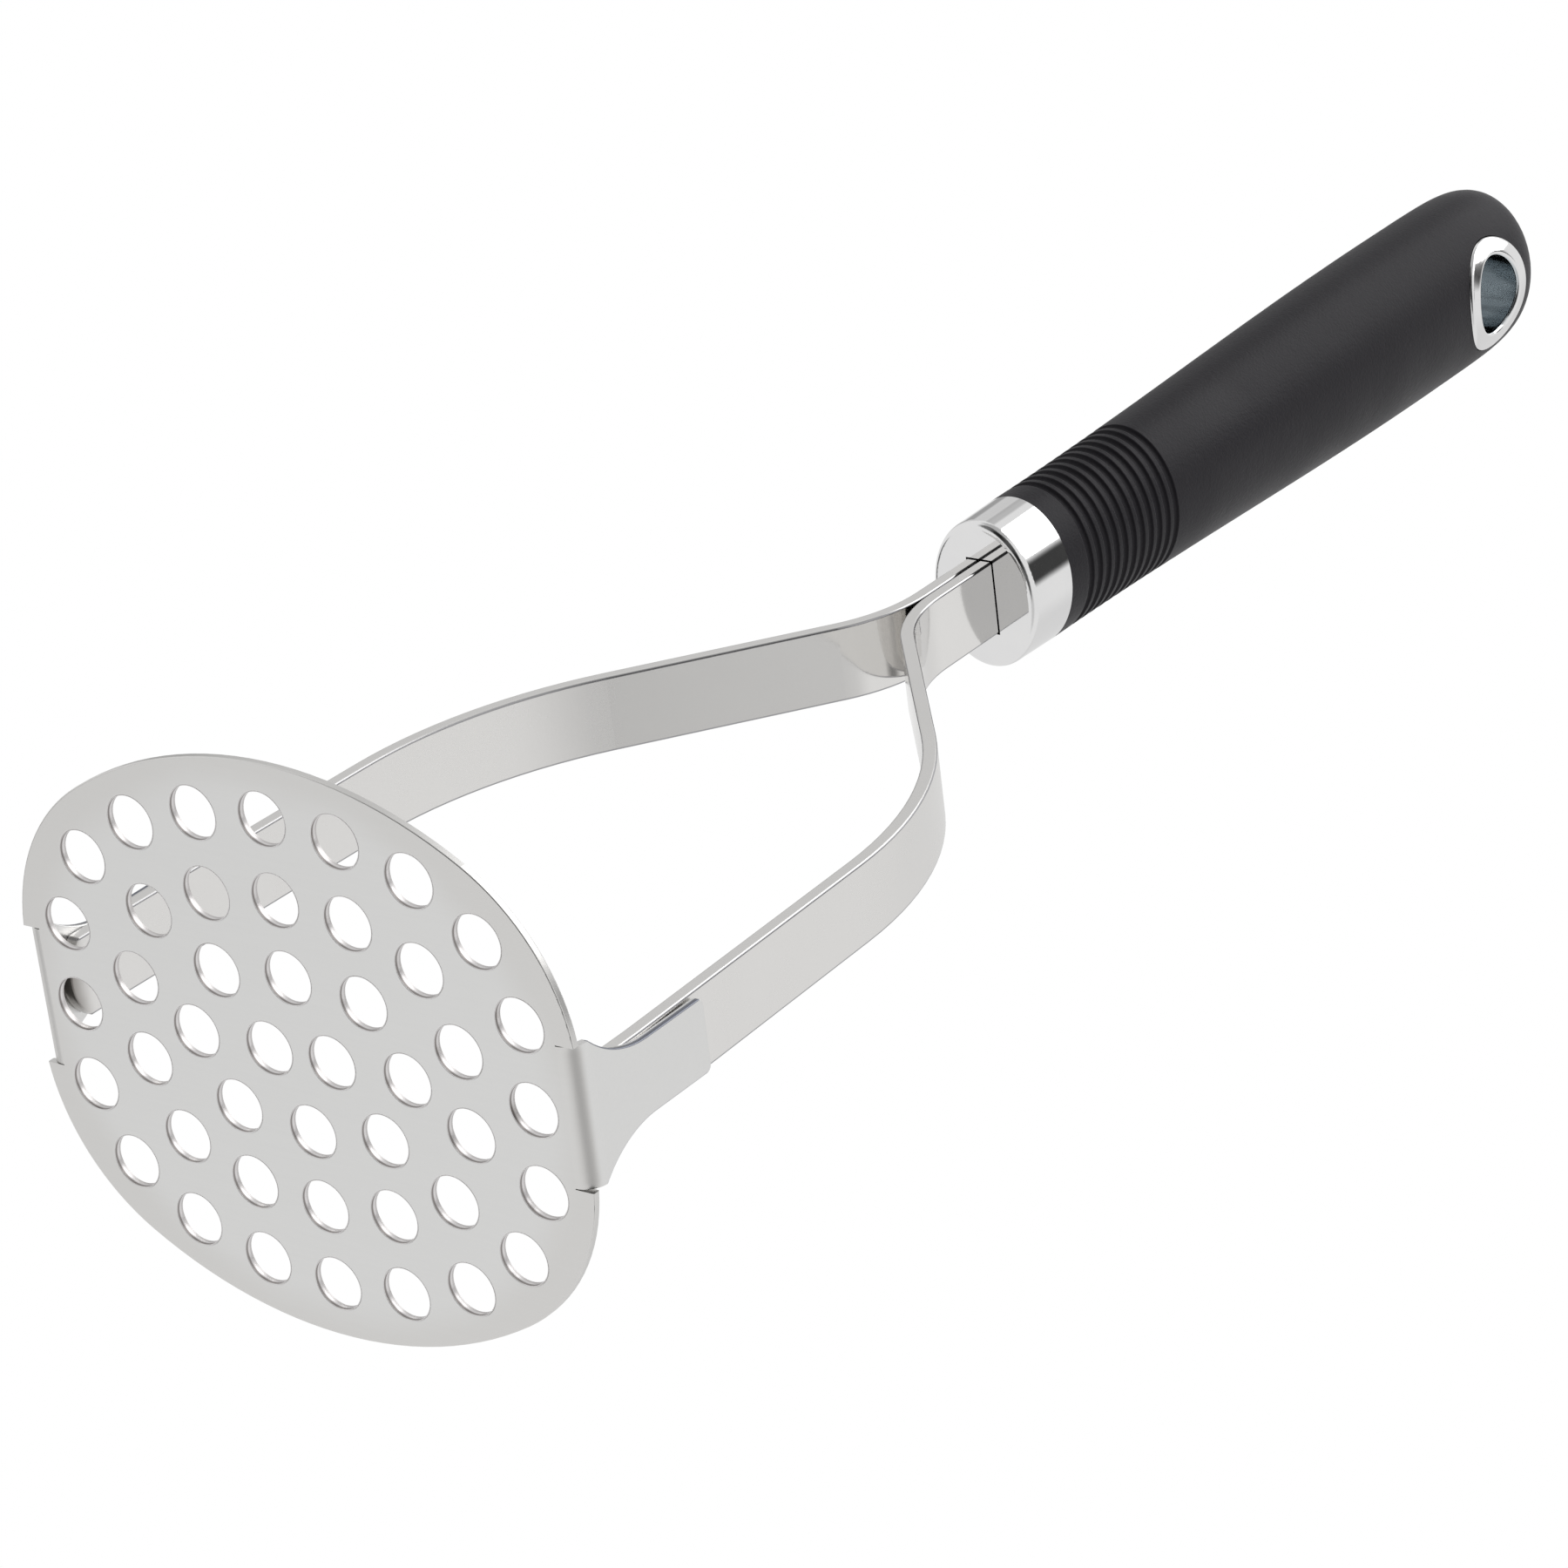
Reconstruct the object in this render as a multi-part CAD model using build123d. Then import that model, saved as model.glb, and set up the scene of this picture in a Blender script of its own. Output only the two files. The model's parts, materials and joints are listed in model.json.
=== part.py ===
from build123d import *
from math import asin, cos, degrees, pi, radians, sin, sqrt, tan
import os

# Potato masher, standing on its plate. The origin is the centre of the plate's underside.
# X runs from tab to tab, Y across the arms, and +Z up the handle.
# All lengths are millimetres and all angles degrees.

# Mashing plate: an oval of two long arcs, four corner arcs and two straight ends, folded up
# at both ends. The long arcs' radius is a share of the plate's half length.
plate_half_length = 44.0
plate_half_depth = 39.5
plate_side_share = 1.341
plate_end_half_width = 7.05
plate_thickness = 1.1
plate_edge_round = 0.2
bend_radius = 2.8

# Holes of the plate, on ovals round its centre. Their radius is a share of the plate's
# half length.
hole_share = 0.083
# One row a ring: holes in it, then its half length, its half depth and its corner radius,
# as shares of the plate's half length, half depth and corner radius
ring_shares = (
    (20, 0.825, 0.810, 0.75),
    (14, 0.586, 0.534, 0.48),
    (8, 0.384, 0.268, 0.25),
)
# The two holes nearest the centre, along X
centre_hole_share = 0.114

# Tabs, bent up from the ends of the plate
tab_height = 24.8
tab_half_width = 5.0
fold_relief_width = 0.15
fold_relief_depth = 0.1
tab_neck_radius = 14.9
tab_neck_top = 13.5
tab_corner_radius = 1.0

# Arms: two strips, welded to the insides of the tabs
arm_width = 11.0
arm_thickness = 2.0
arm_edge_round = 0.35
arm_foot_height = 3.7
arm_foot_radius = 7.0
arm_weld_top = 13.0
arm_lean_angle = 1.7
arm_lean_radius = 60.0
shoulder_height = 83.0
shoulder_radius = 61.0
leg_angle = 39.0
neck_bend_radius = 22.0
arm_gap = 0.2
tang_depth = 33.0

# Handle: round profiles turned about Z, then narrowed along X to an oval
oval_share = 0.77
ferrule_front = 151.5
ferrule_length = 9.7
ferrule_front_half_width = 11.1
ferrule_wall = 0.8
ferrule_face_thickness = 1.2
ferrule_front_round = 1.2
slot_clearance = 0.15
fit_clearance = 0.1

# Grip: half widths along Y, at the seam with the ferrule and at the widest place
grip_seam_half_width = 11.3
grip_swell_half_width = 13.55
handle_height = 297.0
grip_end_length = 27.0
grip_end_power = 5.5

# Core of the grip: a flat-sided bar with round edges, and a wider oval head in the ferrule
core_half_width = 9.2
core_half_thickness = 6.6
core_end_wall = 4.0
grip_bond_gap = 0.05

# Grooves round the front of the grip
groove_count = 11
groove_pitch = 2.235
first_groove_offset = 5.1
groove_radius = 0.65
groove_depth = 0.55
groove_edge_round = 0.2

# Hanging hole: a round bore along X, lined by two eyelets that meet in the middle
hanging_hole_drop = 15.4
hanging_hole_radius = 6.0
eyelet_wall = 1.0
eyelet_rim_radius = 8.9
eyelet_rim_depth = 0.9
eyelet_rim_rise = 0.5
eyelet_edge_round = 0.6
eyelet_mouth_round = 0.6

# Cross pin through the core and both tangs
pin_radius = 1.5
pin_offset = 11.0
pin_clearance = 0.05

# Overrun of every cutting solid past the faces that it cuts
overrun = 1.0

# Places and sizes that follow from the sizes above
hole_radius = hole_share * plate_half_length
plate_side_radius = plate_side_share * plate_half_length
side_to_end = plate_side_radius - plate_half_depth + plate_end_half_width
corner_spare = plate_side_radius**2 - plate_half_length**2 - side_to_end**2
plate_corner_radius = corner_spare / (2 * (plate_side_radius - plate_half_length))
bend_start = plate_half_length - bend_radius
neck_drop = tab_neck_top - bend_radius
fold_half_width = tab_half_width + tab_neck_radius - sqrt(tab_neck_radius**2 - neck_drop**2)
seam_height = ferrule_front + ferrule_length
core_front = ferrule_front + ferrule_face_thickness
tang_top = ferrule_front + tang_depth
pin_height = seam_height + pin_offset
arm_neck_x = (arm_gap + arm_thickness) / 2
grip_swell_height = handle_height - grip_end_length
hanging_hole_height = handle_height - hanging_hole_drop
core_top = handle_height - core_end_wall


def oval_quarter(half_length, half_depth, side_radius, corner_radius):
    """Quarter of an oval, from the middle of its +Y side to the middle of its +X end."""
    side_y = half_depth - side_radius
    corner_x = half_length - corner_radius
    reach = side_radius - corner_radius
    turn = degrees(asin(corner_x / reach))
    corner_y = side_y + reach * cos(radians(turn))
    return Wire([
        CenterArc((0, side_y), side_radius, 90, -turn),
        CenterArc((corner_x, corner_y), corner_radius, 90 - turn, turn - 90),
        Line((half_length, corner_y), (half_length, 0)),
    ])


def oval_face(half_length, half_depth, side_radius, corner_radius):
    """The whole oval, from four mirrored quarters."""
    quarter = oval_quarter(half_length, half_depth, side_radius, corner_radius).edges()
    half = list(quarter) + [mirror(edge, Plane.XZ) for edge in quarter]
    return make_face(half + [mirror(edge, Plane.YZ) for edge in half])


def along_x(radius, start, end, height=0):
    """Cylinder along X from one place to another, at a height."""
    middle = (start + end) / 2
    return Pos(middle, 0, height) * Rot(0, 90, 0) * Cylinder(radius, end - start)


def hole_places():
    """Centres of all the holes in the plate: rings evenly spaced, then the centre pair."""
    centre_x = centre_hole_share * plate_half_length
    places = [(centre_x, 0), (-centre_x, 0)]
    for count, length_share, depth_share, corner_share in ring_shares:
        quarter = oval_quarter(
            length_share * plate_half_length,
            depth_share * plate_half_depth,
            plate_side_radius,
            corner_share * plate_corner_radius,
        )
        for index in range(count // 4 + 1):
            spot = quarter.position_at(4 * index / count)
            on_y_axis = index == 0
            on_x_axis = 4 * index == count
            for side_x in ((1,) if on_y_axis else (1, -1)):
                for side_y in ((1,) if on_x_axis else (1, -1)):
                    places.append((side_x * spot.X, side_y * spot.Y))
    return places


def tab_outline():
    """Face of a tab seen along X: wide at the fold, then drawn in to a straight neck."""
    neck_y = tab_half_width + tab_neck_radius
    neck_turn = degrees(asin((tab_neck_top - bend_radius) / tab_neck_radius))
    corner_top = tab_height - tab_corner_radius
    corner_side = tab_half_width - tab_corner_radius
    half = [
        Line((0, -overrun), (fold_half_width, -overrun)),
        Line((fold_half_width, -overrun), (fold_half_width, bend_radius)),
        CenterArc((neck_y, tab_neck_top), tab_neck_radius, 180, neck_turn),
        Line((tab_half_width, tab_neck_top), (tab_half_width, corner_top)),
        CenterArc((corner_side, corner_top), tab_corner_radius, 0, 90),
        Line((corner_side, tab_height), (0, tab_height)),
    ]
    return make_face(half + [mirror(edge, Plane.YZ) for edge in half])


def mashing_plate():
    """Oval sheet with a tab bent up at each end, and all its holes."""
    depth = 2 * plate_half_depth
    oval = oval_face(plate_half_length, plate_half_depth, plate_side_radius, plate_corner_radius)
    cutter = Cylinder(hole_radius, 2 * (plate_thickness + overrun))
    flat = extrude(oval, plate_thickness) - [Pos(x, y, 0) * cutter for x, y in hole_places()]
    flat = fillet([edge for edge in flat.edges() if edge.length > bend_radius], plate_edge_round)
    relief_start = bend_start - fold_relief_depth
    relief_width = 2 * (fold_half_width + fold_relief_width)
    reliefs = Box(2 * depth, relief_width, depth) - Box(2 * relief_start, 2 * depth, 2 * depth)
    path = FilletPolyline(
        (-plate_half_length, tab_height),
        (-plate_half_length, 0),
        (plate_half_length, 0),
        (plate_half_length, tab_height),
        radius=bend_radius,
    )
    section = Face(Wire(path.edges()).offset_2d(plate_thickness, side=Side.LEFT))
    channel = extrude(Plane.XZ * section, depth / 2, both=True)
    tabs = extrude(Plane.YZ * tab_outline(), plate_half_length + overrun, both=True)
    middle = Box(2 * relief_start, 2 * depth, 2 * depth)
    folds = (channel & tabs) - middle
    lowest = bend_radius + plate_edge_round
    shortest = plate_thickness + plate_edge_round
    outlines = [
        edge for edge in folds.edges()
        if edge.center().Z > lowest and edge.length > shortest
    ]
    folds = fillet(outlines, plate_edge_round)
    return flat - reliefs + folds


def arm_corners():
    """Corners of the right arm's middle line in the XZ plane, from its foot to its tang's end."""
    foot_x = plate_half_length - plate_thickness - arm_thickness / 2
    shoulder_x = foot_x - (shoulder_height - arm_weld_top) * tan(radians(arm_lean_angle))
    neck_height = shoulder_height + (shoulder_x - arm_neck_x) / tan(radians(leg_angle))
    return [
        Vector(foot_x, arm_foot_height),
        Vector(foot_x, arm_weld_top),
        Vector(shoulder_x, shoulder_height),
        Vector(arm_neck_x, neck_height),
        Vector(arm_neck_x, tang_top),
    ]


def beside(corners, distance):
    """A path's corners moved to its right, each to where the moved runs meet."""
    runs = [(end - start).normalized() for start, end in zip(corners, corners[1:])]
    sides = [Vector(run.Y, -run.X) for run in runs]
    before = sides[:1] + sides
    after = sides + sides[-1:]
    moved = []
    for corner, one, other in zip(corners, before, after):
        moved.append(corner + (one + other) * (distance / (1 + one.dot(other))))
    return moved


def arm_section():
    """Side view of the right arm: an outer and an inner path, with arcs round the same centres."""
    half = arm_thickness / 2
    outer = FilletPolyline(
        *beside(arm_corners(), half),
        radius=[arm_lean_radius + half, shoulder_radius + half, neck_bend_radius - half],
    )
    inner = FilletPolyline(
        *beside(arm_corners(), -half),
        radius=[arm_lean_radius - half, shoulder_radius - half, neck_bend_radius + half],
    )
    return make_face([outer, inner, Line(outer @ 0, inner @ 0), Line(outer @ 1, inner @ 1)])


def right_arm():
    """Flat strip along the arm's path, with a rounded foot, soft edges and a pin hole."""
    strip = extrude(Plane.XZ * arm_section(), arm_width / 2, both=True)
    foot_centre = arm_foot_height + arm_foot_radius
    above_foot = Pos(0, 0, foot_centre + tang_top) * Box(2 * tang_top, 2 * arm_width, 2 * tang_top)
    foot = along_x(arm_foot_radius, 0, plate_half_length + overrun, foot_centre)
    strip = (strip & (above_foot + foot)).clean()
    strip = fillet([edge for edge in strip.edges() if edge.length > arm_thickness], arm_edge_round)
    return strip - along_x(pin_radius + pin_clearance, -arm_thickness, 2 * arm_thickness, pin_height)


def narrowed(round_solid):
    """A round solid about Z, drawn in along X to the handle's oval."""
    return scale(round_solid, by=(oval_share, 1, 1), about=(0, 0, 0))


def turned(profile):
    """Solid turned about Z from a half section, whose seam faces along Y."""
    return revolve(Plane.YZ * profile, Axis.Z)


def grip_half_width(height):
    """Half width of the grip along Y, easing from the seam to the swell."""
    share = (height - seam_height) / (grip_swell_height - seam_height)
    return grip_seam_half_width + (grip_swell_half_width - grip_seam_half_width) * (1 - cos(pi * share)) / 2


def grip_profile(inset):
    """Half section of the handle behind the seam, drawn in from its surface by an inset."""
    steps = 12
    rise = grip_swell_height - seam_height
    front = []
    for step in range(steps + 1):
        height = seam_height + rise * step / steps
        front.append((grip_half_width(height) - inset, height))
    tail = []
    for step in range(steps + 1):
        angle = pi / 2 * step / steps
        across = (grip_swell_half_width - inset) * cos(angle) ** (2 / grip_end_power)
        along = (handle_height - grip_swell_height - inset) * sin(angle) ** (2 / grip_end_power)
        tail.append((across, grip_swell_height + along))
    tail[-1] = (0, handle_height - inset)
    return make_face([
        Line((0, seam_height), front[0]),
        Spline(front, tangents=[(0, 1), (0, 1)]),
        Spline(tail, tangents=[(0, 1), (-1, 0)]),
        Line(tail[-1], (0, seam_height)),
    ])


def handle_skin(outer_inset, inner_inset):
    """Layer of the handle between two insets from its surface."""
    return narrowed(turned(grip_profile(outer_inset) - grip_profile(inner_inset)))


def core_bar(start, end, gap):
    """Flat-sided bar with round edges, wider than the core by a gap all round."""
    section = SlotOverall(2 * (core_half_width + gap), 2 * (core_half_thickness + gap), 90)
    return Pos(0, 0, start) * extrude(section, end - start)


def grip_sleeve():
    """Soft grip: closed behind, with grooves, a pocket for the core and seats for the eyelets."""
    rings = []
    for index in range(groove_count):
        height = seam_height + first_groove_offset + index * groove_pitch
        centre = grip_half_width(height) + groove_radius - groove_depth
        rings.append(Pos(centre, height) * Circle(groove_radius))
    sleeve = turned(grip_profile(0) - rings)
    sleeve = narrowed(fillet(groove_edges(sleeve), groove_edge_round))
    pocket = core_bar(seam_height - overrun, core_top + grip_bond_gap, grip_bond_gap)
    reach = grip_swell_half_width + overrun
    seat = along_x(eyelet_rim_radius + fit_clearance, -reach, reach, hanging_hole_height)
    seat = seat & handle_skin(-eyelet_rim_rise, eyelet_rim_depth)
    hole_size = hanging_hole_radius + eyelet_wall + fit_clearance
    return sleeve - seat - pocket - along_x(hole_size, -reach, reach, hanging_hole_height)


def groove_edges(sleeve):
    """Circles where the grooves meet the grip's surface."""
    first = seam_height + first_groove_offset - groove_pitch
    last = first + (groove_count + 1) * groove_pitch
    return [
        edge for edge in sleeve.edges().filter_by(GeomType.CIRCLE)
        if first < edge.center().Z < last and edge.radius > grip_seam_half_width - groove_depth / 2
    ]


def core_socket():
    """Space in the core for both tangs, open towards the ferrule."""
    width = arm_gap + 2 * (arm_thickness + slot_clearance)
    depth = arm_width + 2 * slot_clearance
    height = tang_top + slot_clearance - core_front + overrun
    return Pos(0, 0, core_front - overrun + height / 2) * Box(width, depth, height)


def handle_core():
    """Hard body under the grip: a head in the ferrule, the socket, the pin hole and the bore."""
    head_half_width = ferrule_front_half_width - ferrule_wall - fit_clearance
    head_length = seam_height - core_front
    head = Pos(0, 0, core_front + head_length / 2) * Cylinder(head_half_width, head_length)
    core = narrowed(head) + core_bar(seam_height, core_top, 0)
    reach = core_half_thickness + overrun
    hole_size = hanging_hole_radius + eyelet_wall + fit_clearance
    hole = along_x(hole_size, -reach, reach, hanging_hole_height)
    pin_hole = along_x(pin_radius + pin_clearance, -reach, reach, pin_height)
    return core - core_socket() - hole - pin_hole


def ferrule():
    """Oval cap, open behind, whose flat front is slotted for the two arms."""
    outline = FilletPolyline(
        (0, ferrule_front),
        (ferrule_front_half_width, ferrule_front),
        (grip_seam_half_width, seam_height),
        (grip_seam_half_width - ferrule_wall, seam_height),
        (ferrule_front_half_width - ferrule_wall, core_front),
        (0, core_front),
        radius=[0, ferrule_front_round, 0, 0, 0, 0],
        close=True,
    )
    cap = narrowed(turned(make_face(outline)))
    width = arm_gap + 2 * (arm_thickness + slot_clearance)
    depth = arm_width + 2 * slot_clearance
    return cap - Pos(0, 0, ferrule_front) * Box(width, depth, 2 * ferrule_face_thickness + overrun)


def right_eyelet():
    """Half tube with a rim that follows the grip's oval face and stands a little proud."""
    reach = grip_swell_half_width + overrun
    surface = narrowed(turned(grip_profile(-eyelet_rim_rise)))
    tube = along_x(hanging_hole_radius + eyelet_wall, 0, reach, hanging_hole_height) & surface
    rim = along_x(eyelet_rim_radius, 0, reach, hanging_hole_height)
    rim = rim & handle_skin(-eyelet_rim_rise, eyelet_rim_depth)
    eyelet = tube + rim - along_x(hanging_hole_radius, -overrun, reach, hanging_hole_height)
    fronts = eyelet.faces().sort_by(lambda face: face.center().X)[-2:]
    rim_front = fronts.sort_by(lambda face: face.area)[-1]
    rim_edges = rim_front.edges().sort_by(lambda edge: edge.length)
    eyelet = fillet(rim_edges[-1], eyelet_edge_round)
    fronts = eyelet.faces().sort_by(lambda face: face.center().X)[-2:]
    bore_front = fronts.sort_by(lambda face: face.area)[0]
    bore_edges = bore_front.edges().sort_by(lambda edge: edge.length)
    return fillet(bore_edges[0], eyelet_mouth_round)


def tang_pin():
    """Cross pin, ending level with the core's flat sides."""
    return along_x(pin_radius, -core_half_thickness, core_half_thickness, pin_height)


def main():
    """Build every piece and write it under its own name."""
    arm = right_arm()
    eyelet = right_eyelet()
    pieces = {
        "mashing_plate": mashing_plate(),
        "right_arm": arm,
        "left_arm": mirror(arm, Plane.YZ),
        "ferrule": ferrule(),
        "handle_core": handle_core(),
        "grip_sleeve": grip_sleeve(),
        "right_eyelet": eyelet,
        "left_eyelet": mirror(eyelet, Plane.YZ),
        "tang_pin": tang_pin(),
    }
    os.makedirs("parts", exist_ok=True)
    for name, piece in pieces.items():
        export_step(piece, f"parts/{name}.step")
        print(name, round(piece.volume, 1))


if __name__ == "__main__":
    main()
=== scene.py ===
# %% [markdown]
# # A hand potato masher
#
# The masher is a pressed steel plate full of holes, folded up at both ends, with two flat
# steel arms welded inside its folds. The arms bow out round the plate, come together above
# it and run side by side into a chrome cap, which closes the front of a soft black grip.
# A chrome-lined hole near the grip's end hangs the masher on a hook.
#
# The shapes come ready from the engineering model, in metres, standing on the plate with
# the handle up. This lesson gives them their finishes, adds the punched edges of the holes,
# and sets up the light and the camera.

# %% Load the model
import json
import math

import bpy
from mathutils import Matrix, Vector


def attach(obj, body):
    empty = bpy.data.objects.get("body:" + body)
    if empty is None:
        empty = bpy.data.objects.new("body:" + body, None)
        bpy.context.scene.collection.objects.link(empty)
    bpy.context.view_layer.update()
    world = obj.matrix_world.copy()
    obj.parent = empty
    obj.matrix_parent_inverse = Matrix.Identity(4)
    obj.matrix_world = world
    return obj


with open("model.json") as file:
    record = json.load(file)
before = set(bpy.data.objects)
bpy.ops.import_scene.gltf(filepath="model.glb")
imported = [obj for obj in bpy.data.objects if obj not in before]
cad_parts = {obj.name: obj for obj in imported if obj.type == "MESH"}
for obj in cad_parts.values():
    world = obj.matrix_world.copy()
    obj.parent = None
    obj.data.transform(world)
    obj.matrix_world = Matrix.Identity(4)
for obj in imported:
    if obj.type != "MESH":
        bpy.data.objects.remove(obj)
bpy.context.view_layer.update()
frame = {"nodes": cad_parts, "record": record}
nodes = frame["nodes"]
MM = 0.001
print("pieces:", sorted(nodes))

# %% [markdown]
# ## Shader maths in plain Python
#
# A finish is a small program of nodes. Wrapping a socket in a class whose operators add Math
# nodes lets a mask read as a formula, such as `1 - edge * 0.3`. Everything that isn't plain
# arithmetic comes from one method, which takes the node's type, its settings and its inputs.


# %% A socket that can be calculated with
class Value:
    """What an output socket gives: a number, a colour, a shader or a shape."""

    def __init__(self, tree, socket):
        self.tree = tree
        self.socket = socket

    def join(self, operation, *terms):
        return self.tree.add("ShaderNodeMath", {"operation": operation}, dict(enumerate(terms)))

    def __add__(self, other):
        return self.join("ADD", self, other)

    def __radd__(self, other):
        return self.join("ADD", other, self)

    def __sub__(self, other):
        return self.join("SUBTRACT", self, other)

    def __rsub__(self, other):
        return self.join("SUBTRACT", other, self)

    def __mul__(self, other):
        return self.join("MULTIPLY", self, other)

    def __rmul__(self, other):
        return self.join("MULTIPLY", other, self)

    def __truediv__(self, other):
        return self.join("DIVIDE", self, other)

    def size(self):
        return self.join("ABSOLUTE", self)

    def root(self):
        return self.join("SQRT", self)

    def lesser(self, other):
        return self.join("MINIMUM", self, other)

    def greater(self, other):
        return self.join("MAXIMUM", self, other)


def distance(first, second):
    """How far a point is from an axis, from its offsets along the two other axes."""
    return (first * first + second * second).root()


# %% A tree, and the method that adds any node to it
class Tree:
    """A node tree of any kind: a material's, the world's or a Geometry Nodes group's."""

    def __init__(self, data):
        self.data = data
        self.data.nodes.clear()

    def fill(self, node, inputs):
        """Links or sets the sockets of a node, each known by its name or its number."""
        for key, value in inputs.items():
            if isinstance(value, Value):
                self.data.links.new(value.socket, node.inputs[key])
            else:
                node.inputs[key].default_value = value

    def add(self, kind, settings, inputs, result=0):
        """Adds a node, sets it up, fills its sockets and returns one of its outputs."""
        node = self.data.nodes.new(kind)
        for key, value in settings.items():
            setattr(node, key, value)
        self.fill(node, inputs)
        return Value(self, node.outputs[result])

    def end(self, kind, value):
        """Adds the tree's output node, which takes the finished value."""
        self.fill(self.data.nodes.new(kind), {0: value})

    def ray(self, kind):
        """1 for rays of one kind and 0 for all others."""
        return self.add("ShaderNodeLightPath", {}, {}, kind)

    def ramp(self, value, start, end):
        """0 below the start, 1 past the end, and a soft step between."""
        settings = {"interpolation_type": "SMOOTHSTEP"}
        inputs = {"Value": value, "From Min": start, "From Max": end}
        return self.add("ShaderNodeMapRange", settings, inputs)

    def mix(self, share, first, second):
        """The first shader at a share of 0 and the second at 1."""
        return self.add("ShaderNodeMixShader", {}, {0: share, 1: first, 2: second})


# %% A finish: one material and what its patterns need
class Finish(Tree):
    """One named material. Its patterns lie on the object's own coordinates."""

    def __init__(self, name):
        self.material = bpy.data.materials.new(name)
        self.material.use_nodes = True
        super().__init__(self.material.node_tree)

    def place(self):
        return self.add("ShaderNodeTexCoord", {}, {}, "Object")

    def axis(self, name):
        """One object coordinate, in millimetres."""
        return self.add("ShaderNodeSeparateXYZ", {}, {"Vector": self.place()}, name) / MM

    def grain(self, size, detail=2.0, rough=0.5, stretch=(1, 1, 1)):
        """Noise from 0 to 1 whose lumps are about a size across, in millimetres."""
        shares = tuple(share / (size * MM) for share in stretch)
        where = self.add("ShaderNodeMapping", {}, {"Vector": self.place(), "Scale": shares})
        inputs = {"Vector": where, "Scale": 1.0, "Detail": detail, "Roughness": rough}
        return self.add("ShaderNodeTexNoise", {}, inputs)

    def band(self, value, start, full, fade, end):
        """1 between full and fade, 0 before the start and past the end."""
        return self.ramp(value, start, full) * (1 - self.ramp(value, fade, end))

    def blend(self, share, first, second):
        """A colour between two. A Mix node takes colours in sockets 6 and 7 and gives one in 2."""
        colours = [c if isinstance(c, Value) else (*c, 1.0) for c in (first, second)]
        inputs = {0: share, 6: colours[0], 7: colours[1]}
        return self.add("ShaderNodeMix", {"data_type": "RGBA"}, inputs, 2)

    def bumps(self, height, depth, under=None):
        """Surface direction tilted by a height from 0 to 1, with a depth in millimetres."""
        inputs = {"Height": height, "Distance": depth * MM, "Strength": 1.0}
        if under is not None:
            inputs["Normal"] = under
        return self.add("ShaderNodeBump", {}, inputs)

    def surface(self, sockets):
        return self.add("ShaderNodeBsdfPrincipled", {}, sockets)

    def wear(self, shader):
        """Ends the finish with a shader and returns the material."""
        self.end("ShaderNodeOutputMaterial", shader)
        print("finish", self.material.name, "has", len(self.data.nodes), "nodes")
        return self.material

    def metal(self, colour, rough, normal):
        """Ends the finish as a bare metal, which most of the masher is."""
        return self.wear(self.surface({
            "Base Color": colour, "Metallic": 1.0, "Roughness": rough, "Normal": normal,
        }))


# %% [markdown]
# ## Steel of the plate
# The plate is cut from rolled stainless sheet and tumbled with fine grit, so it is an even
# light grey with a soft, blurred reflection. What keeps it from looking like plastic is a
# very fine grain that tilts the surface, slow clouds in the roughness where the grit hit
# harder, and a warmer rim. Where the press folded the ends up, the outside of the bend is
# rougher and carries a darker band of painted reflection, and its inside is darkened with
# painted shade. The tabs' cut edges have a dark line of painted reflection along them.
# The folds and the edges are at known places, so their masks are formulas on the object's
# own coordinates.

# %% Plate steel
# Sizes of the plate, in millimetres, as in the engineering model
PLATE_HALF = (44.0, 39.5)
PLATE_THICKNESS = 1.1
FOLD_RADIUS = 2.8
TAB_HALF_WIDTH = 5.0
NECK_RADIUS = 14.9
NECK_TOP = 13.5
BEND_X = PLATE_HALF[0] - FOLD_RADIUS

# Where each mark starts and ends, in millimetres, but for the rim, whose outline is at 1
RIM_REACH = (0.80, 1.08)
RIM_HEIGHTS = (1.2, 2.0)
FOLD_ENDS = (8.4, 9.6)
FOLD_OUT = (BEND_X + 0.5, BEND_X + 1.9)
FOLD_HEIGHTS = (0.9, 2.1)
HOLLOW_REACH = (1.82, 2.0)
TAB_FACE = (PLATE_HALF[0] - 0.75, PLATE_HALF[0] - 0.5)
TAB_HEIGHTS = (2.0, 3.0)
EDGE_LINE = (0.08, 0.20)

PLATE_TONES = ((0.715, 0.715, 0.705), (0.785, 0.782, 0.775))
WARM_RIM = (0.62, 0.60, 0.575)
# Painted reflection: a darker band on the outside of the fold
FOLD_PAINTED_REFLECTION = (0.42, 0.405, 0.39)
# Painted shade: the hollow inside the fold
HOLLOW_PAINTED_SHADE = (0.08, 0.075, 0.07)
# Painted reflection: a dark line along the tabs' edges
TAB_EDGE_PAINTED_REFLECTION = (0.12, 0.13, 0.17)


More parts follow.
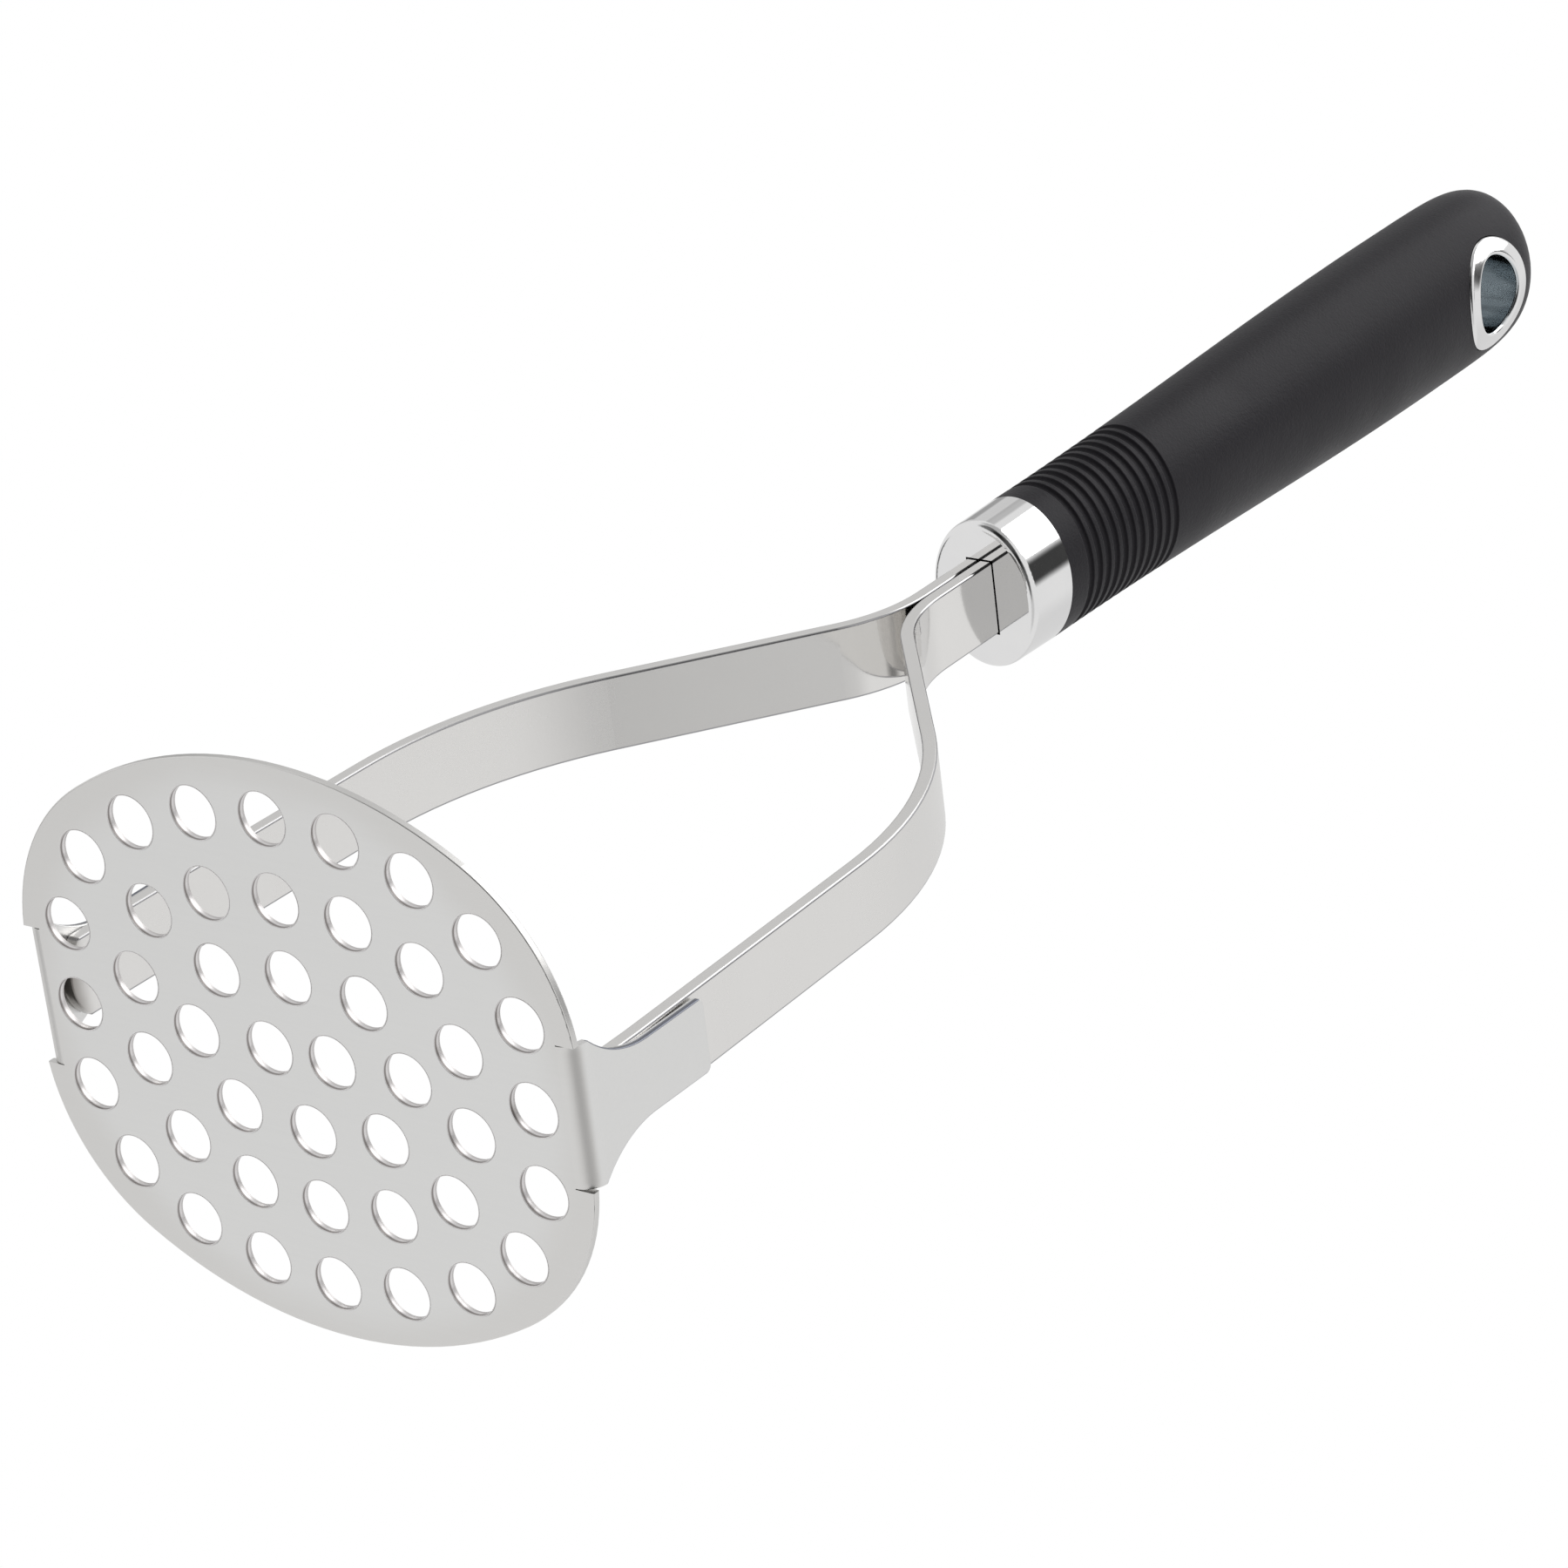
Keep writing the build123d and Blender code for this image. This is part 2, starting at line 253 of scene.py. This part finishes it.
def plate_steel():
    finish = Finish("tumbled_plate_steel")
    clouds = finish.grain(18, detail=3)
    grit = finish.grain(0.45, rough=0.6)
    rolled = finish.grain(0.6, stretch=(0.05, 1, 1))
    out, across, up = finish.axis("X").size(), finish.axis("Y").size(), finish.axis("Z")

    out_share, across_share = out / PLATE_HALF[0], across / PLATE_HALF[1]
    oval = out_share * out_share + across_share * across_share
    flat = 1 - finish.ramp(up, *RIM_HEIGHTS)
    rim = finish.ramp(oval + clouds * 0.2, *RIM_REACH) * flat

    by_fold = 1 - finish.ramp(across, *FOLD_ENDS)
    low = 1 - finish.ramp(up, *FOLD_HEIGHTS)
    outside = finish.ramp(out, *FOLD_OUT) * low * by_fold
    from_bend = distance(out - BEND_X, up - FOLD_RADIUS)
    inside = (1 - finish.ramp(from_bend, *HOLLOW_REACH)) * by_fold

    drop = (up - NECK_TOP).lesser(0)
    from_neck = TAB_HALF_WIDTH + NECK_RADIUS - across
    from_edge = distance(from_neck, drop) - NECK_RADIUS
    line = 1 - finish.ramp(from_edge, *EDGE_LINE)
    # Where the painted reflection lies: a thin line along the tabs' edges and necks
    painted_dark_edge = line * finish.ramp(out, *TAB_FACE) * finish.ramp(up, *TAB_HEIGHTS)

    colour = finish.blend(clouds * 0.5 + grit * 0.2 + rolled * 0.3, *PLATE_TONES)
    colour = finish.blend(rim * 0.35, colour, WARM_RIM)
    # Painted reflection: the fold's outside is darkened in colour; its added roughness is real
    colour = finish.blend(outside * 0.25, colour, FOLD_PAINTED_REFLECTION)
    # Painted shade darkens the inside of the fold
    colour = finish.blend(inside * 0.85, colour, HOLLOW_PAINTED_SHADE)
    # Painted reflection: a dark line along the tabs' edges
    colour = finish.blend(painted_dark_edge * 0.9, colour, TAB_EDGE_PAINTED_REFLECTION)
    rough = 0.24 + clouds * 0.10 + grit * 0.06 + outside * 0.08
    return finish.metal(colour, rough, finish.bumps(grit * 0.7 + rolled * 0.3, 0.006))


# %% [markdown]
# ## Steel of the arms
#
# The arms are flat strip with rolled edges. They are as soft and grey as the plate near
# their feet, and are buffed on a wheel towards the cap, where they turn mirror-bright. The
# height above the plate drives the change. The buffing wheel leaves fine lines across the
# strip, so the grain there is stretched along Y. A dark line of painted reflection runs along
# the rolled corners, and painted shade darkens the feet where they sit in the folds.

# %% Arm steel
ARM_HALF_WIDTH = 5.5
CORNER_INSETS = (0.40, 0.28, 0.14, 0.02)
BUFFED_HEIGHTS = (96, 136)
FOOT_SHADE_HEIGHTS = (4.5, 8.5)

ARM_TONES = ((0.745, 0.735, 0.72), (0.815, 0.805, 0.79))
# Painted reflection: a dark line along the rolled corners
CORNER_PAINTED_REFLECTION = (0.24, 0.24, 0.26)
# Painted shade: the feet where they sit in the folds
FOOT_PAINTED_SHADE = (0.20, 0.18, 0.16)


def arm_steel():
    finish = Finish("buffed_arm_steel")
    clouds = finish.grain(14, detail=3)
    grit = finish.grain(0.45, rough=0.6)
    lines = finish.grain(0.35, rough=0.6, stretch=(1, 0.04, 1))
    across, up = finish.axis("Y").size(), finish.axis("Z")
    buffed = finish.ramp(up + clouds * 8, *BUFFED_HEIGHTS)
    corner = finish.band(across, *(ARM_HALF_WIDTH - inset for inset in CORNER_INSETS))
    painted_foot_shade = 1 - finish.ramp(up + clouds * 2, *FOOT_SHADE_HEIGHTS)

    colour = finish.blend(clouds * 0.6 + grit * 0.25 + lines * 0.15, *ARM_TONES)
    # Painted reflection: a dark line along the rolled corners
    colour = finish.blend(corner * 0.75, colour, CORNER_PAINTED_REFLECTION)
    # Painted shade darkens the feet, low on the arms
    colour = finish.blend(painted_foot_shade * 0.8, colour, FOOT_PAINTED_SHADE)
    satin = 0.22 + clouds * 0.08 + grit * 0.05
    mirror = 0.05 + lines * 0.04 + clouds * 0.02
    rough = satin * (1 - buffed) + mirror * buffed
    relief = grit * (1 - buffed) + lines * 0.08
    return finish.metal(colour, rough, finish.bumps(relief, 0.005))


# %% [markdown]
# ## Chrome
#
# The cap and the eyelets are polished and plated. Chrome is nearly a mirror, so what makes
# it real is what it is not: perfectly clean. Fine wipe marks run round the part, a few faint
# smears cloud the gloss, and the plating has a slow waviness that bends long reflections.
# The polishing wheel can't reach into the eyelets, so the plating in their bore is rougher,
# and painted shade darkens it there. How far a point is from the bore's axis tells the two
# apart, and the model's record says where that axis is and how wide the bore is.

# %% Chrome plate
hanging_hole = next(m for m in frame["record"]["mounts"] if m["name"] == "hanging_hole")
BORE_HEIGHT = hanging_hole["pos_m"][2] / MM
BORE_RADIUS = hanging_hole["dims"]["r_mm"]
BORE_REACH = (BORE_RADIUS, BORE_RADIUS + 0.35)
print("bore at", round(BORE_HEIGHT, 2), "mm, radius", BORE_RADIUS, "mm")

CHROME_TONES = ((0.77, 0.77, 0.775), (0.83, 0.825, 0.82))
# Painted shade inside the eyelets' bore
BORE_PAINTED_SHADE_TONES = ((0.42, 0.45, 0.47), (0.66, 0.70, 0.72))


def chrome(name, with_bore=False):
    finish = Finish(name)
    smears = finish.grain(7, detail=3, rough=0.6)
    wipes = finish.grain(0.25, rough=0.6, stretch=(0.08, 0.3, 1))
    waves = finish.grain(9, detail=1)
    colour = finish.blend(smears, *CHROME_TONES)
    rough = 0.025 + finish.ramp(smears, 0.45, 0.75) * 0.05 + wipes * 0.03
    if with_bore:
        from_axis = distance(finish.axis("Y"), finish.axis("Z") - BORE_HEIGHT)
        outside = finish.ramp(from_axis, *BORE_REACH)
        # Painted shade: the bore's wall is darker in colour; its added roughness is real
        colour = finish.blend(outside, finish.blend(smears, *BORE_PAINTED_SHADE_TONES), colour)
        rough = rough + (1 - outside) * 0.06
    return finish.metal(colour, rough, finish.bumps(wipes, 0.0008, finish.bumps(waves, 0.03)))


# %% [markdown]
# ## Soft grip
#
# The grip is a soft moulded rubber. It is nearly black, and its faint shine is wide because
# the mould was etched with a fine grain. Dust and skin oil change the gloss in patches, and
# where the hand rubs most it is a little smoother. A little sheen stands for the velvety
# edge that soft rubber shows where it turns away.

# %% Grip rubber
RUBBER_TONES = ((0.012, 0.011, 0.014), (0.025, 0.023, 0.028))


def grip_rubber():
    finish = Finish("soft_grip_rubber")
    etch = finish.grain(0.42, rough=0.6)
    pores = finish.grain(0.9, detail=3, rough=0.6)
    handled = finish.grain(24)
    return finish.wear(finish.surface({
        "Base Color": finish.blend(handled * 0.5 + etch * 0.3 + pores * 0.2, *RUBBER_TONES),
        "Roughness": 0.42 + etch * 0.10 - finish.ramp(handled, 0.45, 0.7) * 0.06,
        "Normal": finish.bumps(etch * 0.6 + pores * 0.4, 0.07),
        "Sheen Weight": 0.02,
        "Sheen Roughness": 0.4,
        "Specular IOR Level": 0.15,
    }))


# %% [markdown]
# ## Hidden pieces
#
# The hard core under the grip and the pin through the arms' ends are seen only if someone
# takes the masher apart, but they are finished too: moulded plastic with a faint grain, and
# turned steel whose tool marks run round the pin.

# %% Core plastic and pin steel
CORE_TONES = ((0.085, 0.085, 0.088), (0.115, 0.115, 0.12))
PIN_TONES = ((0.52, 0.52, 0.52), (0.64, 0.64, 0.63))


def core_plastic():
    finish = Finish("moulded_core_plastic")
    grain = finish.grain(0.5, detail=3)
    flow = finish.grain(12, stretch=(1, 1, 0.3))
    return finish.wear(finish.surface({
        "Base Color": finish.blend(flow, *CORE_TONES),
        "Roughness": 0.42 + grain * 0.12,
        "Normal": finish.bumps(grain, 0.01),
    }))


def pin_steel():
    finish = Finish("turned_pin_steel")
    marks = finish.grain(0.12, rough=0.6, stretch=(1, 0.05, 0.05))
    colour = finish.blend(marks, *PIN_TONES)
    return finish.metal(colour, 0.22 + marks * 0.12, finish.bumps(marks, 0.004))


# %% Give each piece its finish
finishes = {
    "plate_steel": plate_steel(),
    "arm_steel": arm_steel(),
    "chrome": chrome("polished_chrome"),
    "eyelet_chrome": chrome("eyelet_chrome", with_bore=True),
    "grip_rubber": grip_rubber(),
    "core_plastic": core_plastic(),
    "pin_steel": pin_steel(),
}
for part in frame["record"]["subparts"]:
    label = part["node"]
    worn = "eyelet_chrome" if label.endswith("eyelet") else part["material_slot"]
    nodes[label].data.materials.clear()
    nodes[label].data.materials.append(finishes[worn])
    print(label, "wears", finishes[worn].name)

# %% [markdown]
# ## Punched edges of the holes
#
# Each hole is punched. The punch first draws the sheet's edge down into a small curve,
# then shears the steel cleanly, and tears it for the rest of the thickness. So a hole's wall
# has three bands: a thin one at the plate's underside, darkened with painted shade where the
# edge curves, a bright smooth one, and a duller one. They are the same forty-four times, which
# is work for Geometry Nodes: one thin ring is swept round a circle, set on every hole's centre
# and made real. The rings line the walls of the holes, a few hundredths of a millimetre proud.
#
# The holes stand in three rings round a centre pair. Each ring is an oval of arcs like the
# plate's outline, only smaller, and its holes are spaced evenly along it.

# %% Where the holes are
SIDE_RADIUS, CORNER_RADIUS = 59.0, 28.0
HOLE_RADIUS = 3.652
CENTRE_PAIR_X = 0.114 * PLATE_HALF[0]
# One ring a row: how many holes, then its length, depth and corners as shares of the plate's
RINGS = ((20, 0.825, 0.810, 0.75), (14, 0.586, 0.534, 0.48), (8, 0.384, 0.268, 0.25))


def oval_point(length, depth, corner, share):
    """A point at a share of the way from an oval's +Y side to its +X end, in mm."""
    side_y = depth - SIDE_RADIUS
    reach = SIDE_RADIUS - corner
    corner_x = length - corner
    turn = math.asin(corner_x / reach)
    corner_y = side_y + reach * math.cos(turn)
    side_arc = SIDE_RADIUS * turn
    corner_arc = corner * (math.pi / 2 - turn)
    along = share * (side_arc + corner_arc + corner_y)
    if along < side_arc:
        angle = along / SIDE_RADIUS
        return SIDE_RADIUS * math.sin(angle), side_y + SIDE_RADIUS * math.cos(angle)
    if along < side_arc + corner_arc:
        angle = turn + (along - side_arc) / corner
        return corner_x + corner * math.sin(angle), corner_y + corner * math.cos(angle)
    return length, corner_y - (along - side_arc - corner_arc)


def hole_centres():
    """Every hole's centre, in mm: one quarter of each ring, mirrored, and the centre pair."""
    centres = [(CENTRE_PAIR_X, 0.0), (-CENTRE_PAIR_X, 0.0)]
    for count, length_share, depth_share, corner_share in RINGS:
        for index in range(count // 4 + 1):
            x, y = oval_point(
                length_share * PLATE_HALF[0], depth_share * PLATE_HALF[1],
                corner_share * CORNER_RADIUS, 4 * index / count,
            )
            for side_x in ((1,) if index == 0 else (1, -1)):
                for side_y in ((1,) if 4 * index == count else (1, -1)):
                    centres.append((side_x * x, side_y * y))
    return centres


centres = hole_centres()
print(len(centres), "holes")


# %% A node group with named inputs
def group(name, inputs):
    """A Geometry Nodes tree and its inputs, each given as its type and first value."""
    data = bpy.data.node_groups.new(name, "GeometryNodeTree")
    data.interface.new_socket("Geometry", in_out="INPUT", socket_type="NodeSocketGeometry")
    for label, (kind, first) in inputs.items():
        socket = data.interface.new_socket(label, in_out="INPUT", socket_type=kind)
        if first is not None:
            socket.default_value = first
    data.interface.new_socket("Geometry", in_out="OUTPUT", socket_type="NodeSocketGeometry")
    tree = Tree(data)
    source = data.nodes.new("NodeGroupInput")
    return tree, {label: Value(tree, source.outputs[label]) for label in ("Geometry", *inputs)}


# %% The ring tree
WALL_HEIGHT = 1.04
WALL_THICKNESS = 0.09
WALL_CORNER = 0.02
ROUND_STEPS = 80


def punched_edge_tree():
    """Sweeps a thin section round a circle and sets the ring on every point."""
    tree, given = group("punched_edges", {
        "Hole Radius": ("NodeSocketFloat", HOLE_RADIUS * MM),
        "Wall Height": ("NodeSocketFloat", WALL_HEIGHT * MM),
        "Wall Thickness": ("NodeSocketFloat", WALL_THICKNESS * MM),
        "Wall Corner": ("NodeSocketFloat", WALL_CORNER * MM),
        "Round Steps": ("NodeSocketInt", ROUND_STEPS),
        "Finish": ("NodeSocketMaterial", None),
    })
    circle = tree.add(
        "GeometryNodeCurvePrimitiveCircle", {},
        {"Resolution": given["Round Steps"], "Radius": given["Hole Radius"]},
    )
    section = tree.add(
        "GeometryNodeCurvePrimitiveQuadrilateral", {},
        {"Width": given["Wall Thickness"], "Height": given["Wall Height"]},
    )
    soft = tree.add(
        "GeometryNodeFilletCurve", {"mode": "POLY"},
        {"Curve": section, "Count": 3, "Radius": given["Wall Corner"], "Limit Radius": True},
    )
    ring = tree.add("GeometryNodeCurveToMesh", {}, {"Curve": circle, "Profile Curve": soft})
    smooth = tree.add("GeometryNodeSetShadeSmooth", {}, {"Geometry": ring})
    spread = tree.add(
        "GeometryNodeInstanceOnPoints", {}, {"Points": given["Geometry"], "Instance": smooth},
    )
    real = tree.add("GeometryNodeRealizeInstances", {}, {"Geometry": spread})
    worn = tree.add(
        "GeometryNodeSetMaterial", {}, {"Geometry": real, "Material": given["Finish"]},
    )
    tree.end("NodeGroupOutput", worn)
    print("ring tree with", len(tree.data.nodes), "nodes")
    return tree.data


# %% [markdown]
# The ring's finish has the three bands, told apart by the height above the plate's underside;
# the thin dark one is painted shade. Fine upright lines show where the punch dragged past.

# %% Sheared steel
PAINTED_EDGE_HEIGHTS = (0.06, 0.12, 0.34, 0.54)
TORN_HEIGHTS = (0.72, 0.86)

SHEARED_TONES = ((0.72, 0.70, 0.70), (0.84, 0.82, 0.82))
TORN_STEEL = (0.52, 0.50, 0.49)
# Painted shade: the thin dark band at each hole's underside edge
PUNCHED_EDGE_PAINTED_SHADE = (0.22, 0.20, 0.19)


def sheared_steel():
    finish = Finish("sheared_steel")
    drag = finish.grain(0.12, rough=0.6, stretch=(1, 1, 0.1))
    clouds = finish.grain(5)
    up = finish.axis("Z") + clouds * 0.08
    painted_dark_edge = finish.band(up, *PAINTED_EDGE_HEIGHTS)
    torn = finish.ramp(up, *TORN_HEIGHTS)
    colour = finish.blend(drag, *SHEARED_TONES)
    colour = finish.blend(torn * 0.5, colour, TORN_STEEL)
    # Painted shade on the band at the underside edge
    colour = finish.blend(painted_dark_edge * 0.85, colour, PUNCHED_EDGE_PAINTED_SHADE)
    rough = 0.30 + drag * 0.08 + clouds * 0.05 + torn * 0.12
    return finish.metal(colour, rough, finish.bumps(drag, 0.001))


# %% Run a tree and keep its mesh
def grow(name, points, data, values):
    """Runs a tree on a mesh of points and returns its result as a plain object."""
    seed_mesh = bpy.data.meshes.new(name + "_points")
    seed_mesh.from_pydata(points, [], [])
    seed = bpy.data.objects.new(name + "_points", seed_mesh)
    bpy.context.collection.objects.link(seed)
    maker = seed.modifiers.new("maker", "NODES")
    maker.node_group = data
    sockets = {item.name: item.identifier for item in data.interface.items_tree
               if item.in_out == "INPUT"}
    for label, value in values.items():
        maker[sockets[label]] = value
    seed.update_tag()
    graph = bpy.context.evaluated_depsgraph_get()
    made = bpy.data.meshes.new_from_object(seed.evaluated_get(graph), depsgraph=graph)
    seed.modifiers.remove(maker)
    bpy.data.objects.remove(seed)
    made.name = name
    piece = bpy.data.objects.new(name, made)
    bpy.context.collection.objects.link(piece)
    return piece


# %% The rings, half way up the sheet
spots = [(x * MM, y * MM, PLATE_THICKNESS / 2 * MM) for x, y in centres]
punched = grow("punched_edges", spots, punched_edge_tree(), {"Finish": sheared_steel()})
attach(punched, "root")
print("punched edges:", len(punched.data.polygons), "faces")

# %% [markdown]
# ## Camera
#
# The photograph looks at the underside of the plate from a little to one side, with the
# handle going away from the lens. The camera's place and turn come from matching the holes,
# the plate's outline and the handle with the picture. A long lens keeps the far end of the
# handle nearly as large as the near end.

# %% Camera
CAMERA_PLACE = (0.449828, -0.316277, -0.467863)
CAMERA_RIGHT = Vector((0.809878, 0.113381, 0.575536))
CAMERA_DOWN = Vector((0.153257, 0.906167, -0.394175))
CAMERA_AHEAD = Vector((-0.566224, 0.407439, 0.716508))
SENSOR_WIDTH = 36.0
FOCAL_LENGTH = 134.916

lens = bpy.data.cameras.new("camera")
lens.sensor_width = SENSOR_WIDTH
lens.lens = FOCAL_LENGTH
camera = bpy.data.objects.new("camera", lens)
turn = Matrix((CAMERA_RIGHT, -CAMERA_DOWN, -CAMERA_AHEAD)).transposed()
camera.matrix_world = Matrix.Translation(CAMERA_PLACE) @ turn.to_4x4()
bpy.context.collection.objects.link(camera)
bpy.context.scene.camera = camera
print("camera", [round(c, 3) for c in CAMERA_PLACE], "lens", lens.lens)

# %% [markdown]
# ## Floor
#
# The masher stands on a plain pale floor. Because the camera looks up from below the floor,
# the floor is only there for a camera above it: its underside, and every ray that isn't the
# camera's, passes straight through. Far from the masher the floor fades into the white world,
# so no horizon shows. It lies a hair under the plate, so the two never share a surface.

# %% Floor
FLOOR_HALF = 3.0
FLOOR_HEIGHT = -0.0002
FLOOR_FADE = (400, 2400)
FLOOR_TONES = ((0.90, 0.90, 0.90), (0.94, 0.94, 0.94))
CORNERS = ((-1, -1), (1, -1), (1, 1), (-1, 1))


def pale_floor():
    finish = Finish("pale_floor")
    solid = finish.surface({
        "Base Color": finish.blend(finish.grain(180), *FLOOR_TONES),
        "Roughness": 0.7,
        "Specular IOR Level": 0.2,
    })
    clear = finish.add("ShaderNodeBsdfTransparent", {}, {})
    under = finish.add("ShaderNodeNewGeometry", {}, {}, "Backfacing")
    close = 1 - finish.ramp(distance(finish.axis("X"), finish.axis("Y")), *FLOOR_FADE)
    there = finish.ray("Is Camera Ray") * (1 - under) * close
    return finish.wear(finish.mix(there, clear, solid))


floor_mesh = bpy.data.meshes.new("floor")
floor_corners = [(x * FLOOR_HALF, y * FLOOR_HALF, FLOOR_HEIGHT) for x, y in CORNERS]
floor_mesh.from_pydata(floor_corners, [], [(0, 1, 2, 3)])
floor_mesh.materials.append(pale_floor())
floor = bpy.data.objects.new("floor", floor_mesh)
bpy.context.collection.objects.link(floor)

# %% [markdown]
# ## World
#
# A photographer lights each surface on its own with screens round the object, and the world
# does the same by telling the rays apart. The camera sees plain white. Metal sees white with
# soft dark cards in it, which give the chrome something to bend. Matt surfaces are lit from
# the lamp's side, and hardly at all from the other, so the round grip shows its shape.

# %% World
CAMERA_LEVEL = 1.0
MIRROR_LEVEL = 0.88
DIFFUSE_LEVELS = (0.0475, 0.95)
DIFFUSE_COSINES = (-0.2, 0.8)
WHITE = (1.0, 1.0, 1.0, 1.0)
KEY_WAY = Vector((0.42, -0.54, 0.73)).normalized()
# One card a row: the way it lies, the cosines where it is full and where it ends, its darkness
CARDS = (
    ((0.43, -0.59, -0.69), 0.92, 0.78, 0.90),
    ((0.74, -0.10, -0.67), 0.97, 0.86, 0.85),
    ((-0.05, -0.80, -0.58), 0.96, 0.86, 0.80),
    ((-0.86, 0.24, -0.40), 0.995, 0.965, 0.80),
    ((-0.70, -0.06, 0.71), 0.995, 0.975, 0.45),
    ((-0.29, -0.64, 0.72), 0.997, 0.985, 0.35),
    ((0.694, 0.000, 0.720), 0.994, 0.973, 0.94),
    ((0.72, 0.41, -0.57), 0.98, 0.86, 0.25),
    ((-0.05, 0.70, 0.71), 0.95, 0.80, 0.12),
    ((-0.64, -0.25, 0.72), 0.96, 0.85, 0.22),
    ((0.10, -0.98, 0.10), 0.96, 0.80, 0.45),
)

world = bpy.data.worlds.new("studio")
bpy.context.scene.world = world
world.use_nodes = True
studio = Tree(world.node_tree)
ray_way = studio.add("ShaderNodeTexCoord", {}, {}, "Generated")


def facing(way):
    """The cosine of the angle between a ray and a way."""
    inputs = {0: ray_way, 1: Vector(way).normalized()}
    return studio.add("ShaderNodeVectorMath", {"operation": "DOT_PRODUCT"}, inputs, "Value")


def glow(strength):
    return studio.add("ShaderNodeBackground", {}, {"Color": WHITE, "Strength": strength})


mirrored = MIRROR_LEVEL
for card_way, full, none, darkness in CARDS:
    mirrored = mirrored * (1 - darkness * studio.ramp(facing(card_way), none, full))
diffuse = studio.add("ShaderNodeMapRange", {}, {
    "Value": facing(KEY_WAY), "From Min": DIFFUSE_COSINES[0], "From Max": DIFFUSE_COSINES[1],
    "To Min": DIFFUSE_LEVELS[0], "To Max": DIFFUSE_LEVELS[1],
})
lit = studio.mix(studio.ray("Is Glossy Ray"), glow(diffuse), glow(mirrored))
direct = studio.ray("Is Camera Ray").greater(studio.ray("Is Transmission Ray"))
studio.end("ShaderNodeOutputWorld", studio.mix(direct, lit, glow(CAMERA_LEVEL)))
print("world with", len(CARDS), "cards and", len(studio.data.nodes), "nodes")

# %% [markdown]
# ## Lamp
#
# One large soft lamp, high on the side that the camera sees, shapes the grip and puts the
# broad white patch on the cap. It is nearly a metre wide, so its edge stays soft. An area
# lamp's brightness in a mirror is its power over pi and its area, which is how the power is
# found here.

# %% Lamp
LAMP_SIZE = 0.9
LAMP_DISTANCE = 1.1
LAMP_BRIGHTNESS = 1.6
MASHER_MIDDLE = Vector((0.0, 0.0, 0.17))

light = bpy.data.lights.new("key_lamp", "AREA")
light.size = LAMP_SIZE
light.energy = LAMP_BRIGHTNESS * math.pi * LAMP_SIZE * LAMP_SIZE
lamp = bpy.data.objects.new("key_lamp", light)
lamp.location = MASHER_MIDDLE + KEY_WAY * LAMP_DISTANCE
lamp.rotation_mode = "QUATERNION"
lamp.rotation_quaternion = (-KEY_WAY).to_track_quat("-Z", "Y")
bpy.context.collection.objects.link(lamp)
print("lamp of", round(light.energy, 2), "W")

# %% Plain view transform
scene = bpy.context.scene
scene.view_settings.view_transform = "Standard"
